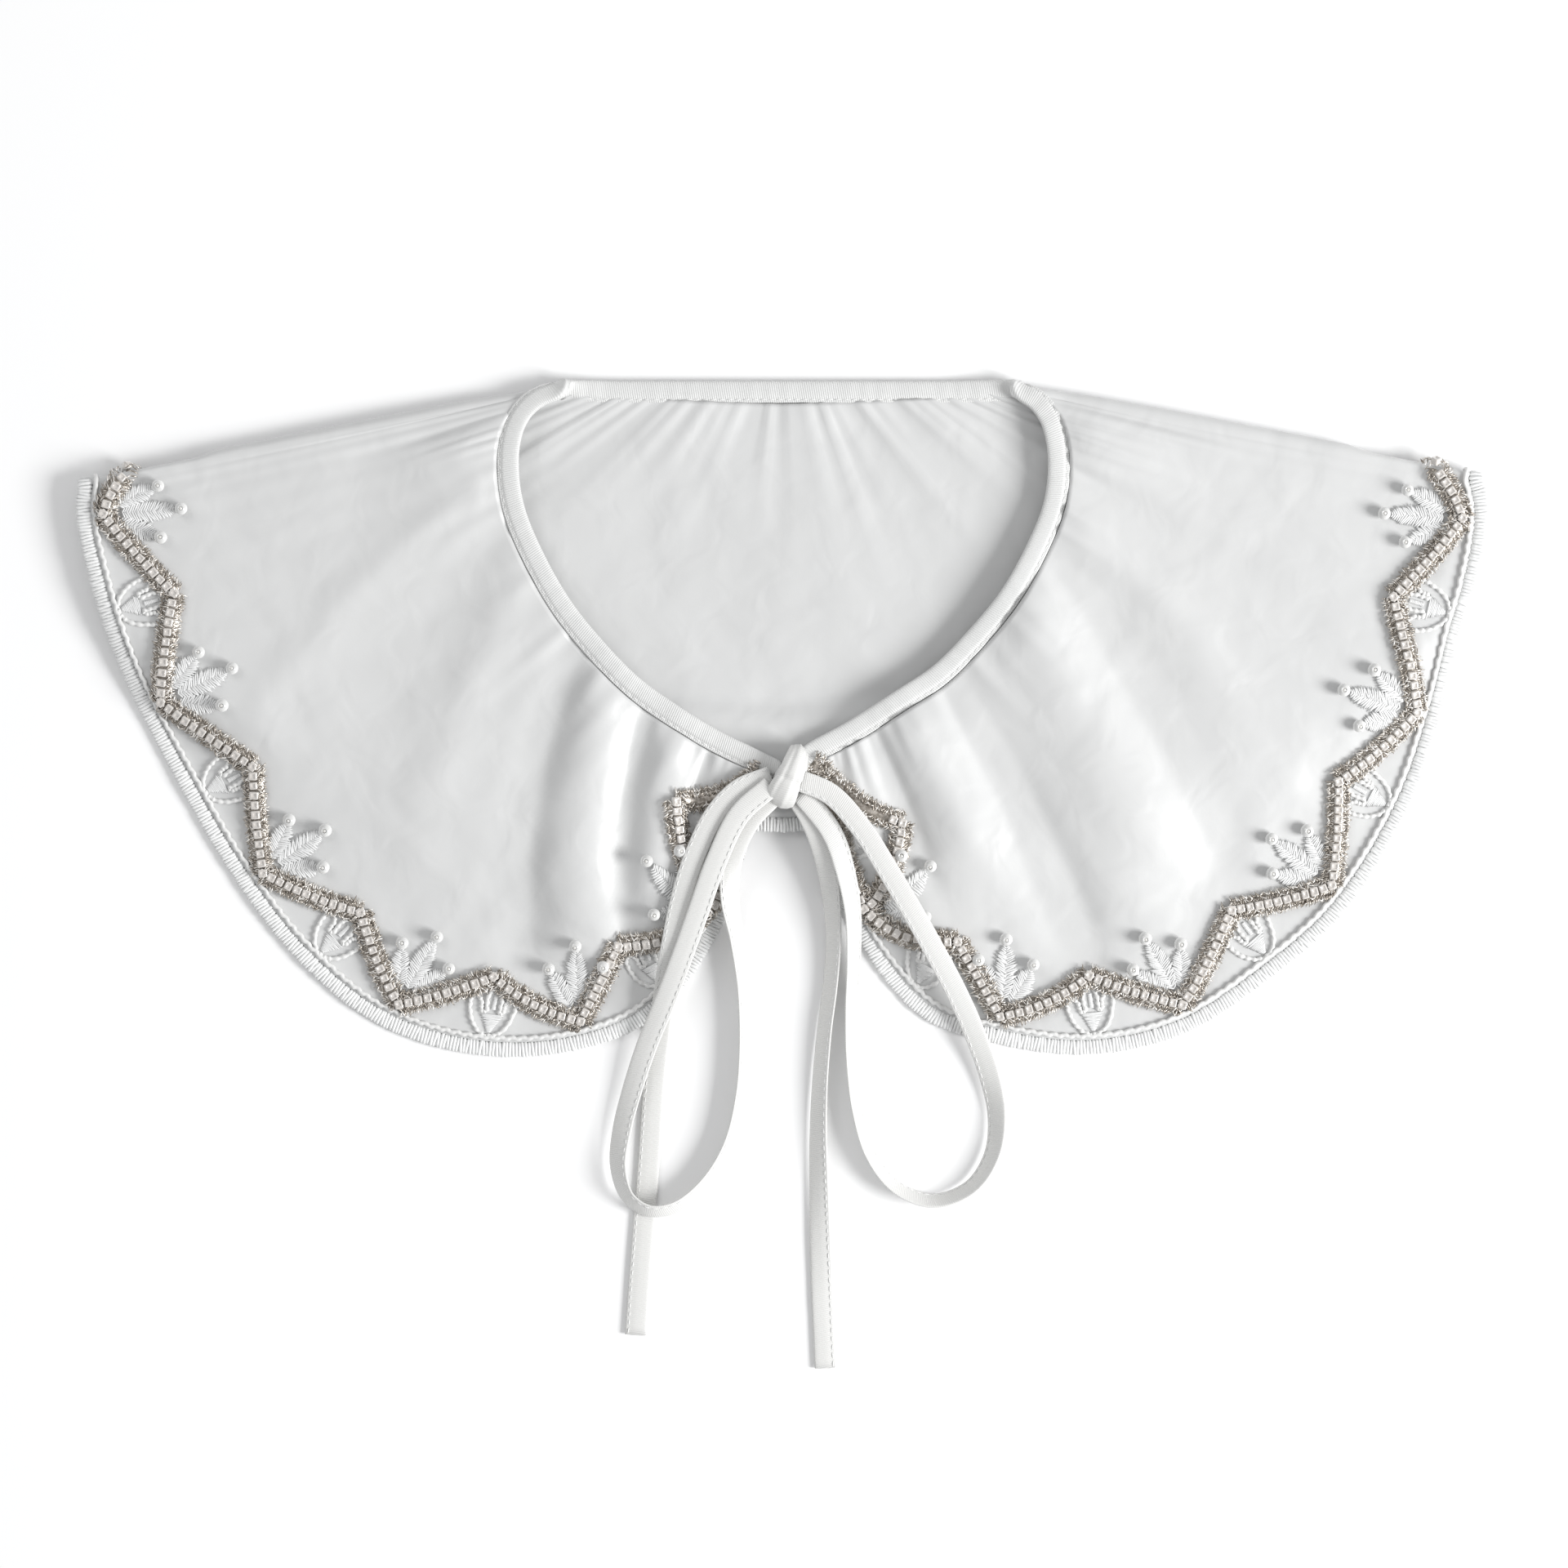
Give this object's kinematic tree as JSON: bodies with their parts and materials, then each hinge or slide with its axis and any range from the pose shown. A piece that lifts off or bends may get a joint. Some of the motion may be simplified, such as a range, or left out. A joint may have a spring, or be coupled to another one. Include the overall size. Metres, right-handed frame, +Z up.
{
  "type": "detachable collar",
  "caption": "Detachable cape collar lying flat, with a bound neck edge tied in a front bow, an overlocked hem and a zigzag beaded trim with pearls.",
  "frame": {"origin": "on the surface it lies on, under the middle of the cape", "axes": "+X across the shoulders, +Y from the bow to the back neck, +Z up from the surface"},
  "size_m": [0.4072, 0.2861, 0.0135],
  "materials": {
    "satin": "lustrous white satin",
    "thread": "overlocked white thread",
    "braid": "metallic thread with clear beads",
    "pearl": "white pearl"
  },
  "bodies": {
    "root": {"cape": "satin", "neck_binding": "satin", "hem_edging": "thread", "beaded_trim": "braid", "bow_knot": "satin", "tie_loop_left": "satin", "tie_end_left": "satin", "tie_loop_right": "satin", "tie_end_right": "satin", "pearl_left_1a": "pearl", "pearl_left_1b": "pearl", "pearl_left_1c": "pearl", "pearl_left_2a": "pearl", "pearl_left_2b": "pearl", "pearl_left_2c": "pearl", "pearl_left_3a": "pearl", "pearl_left_3b": "pearl", "pearl_left_3c": "pearl", "pearl_left_4a": "pearl", "pearl_left_4b": "pearl", "pearl_left_4c": "pearl", "pearl_left_5a": "pearl", "pearl_left_5b": "pearl", "pearl_left_5c": "pearl", "pearl_left_6a": "pearl", "pearl_left_6b": "pearl", "pearl_left_6c": "pearl", "pearl_right_1a": "pearl", "pearl_right_1b": "pearl", "pearl_right_1c": "pearl", "pearl_right_2a": "pearl", "pearl_right_2b": "pearl", "pearl_right_2c": "pearl", "pearl_right_3a": "pearl", "pearl_right_3b": "pearl", "pearl_right_3c": "pearl", "pearl_right_4a": "pearl", "pearl_right_4b": "pearl", "pearl_right_4c": "pearl", "pearl_right_5a": "pearl", "pearl_right_5b": "pearl", "pearl_right_5c": "pearl", "pearl_right_6a": "pearl", "pearl_right_6b": "pearl", "pearl_right_6c": "pearl"}
  },
  "joints": []
}
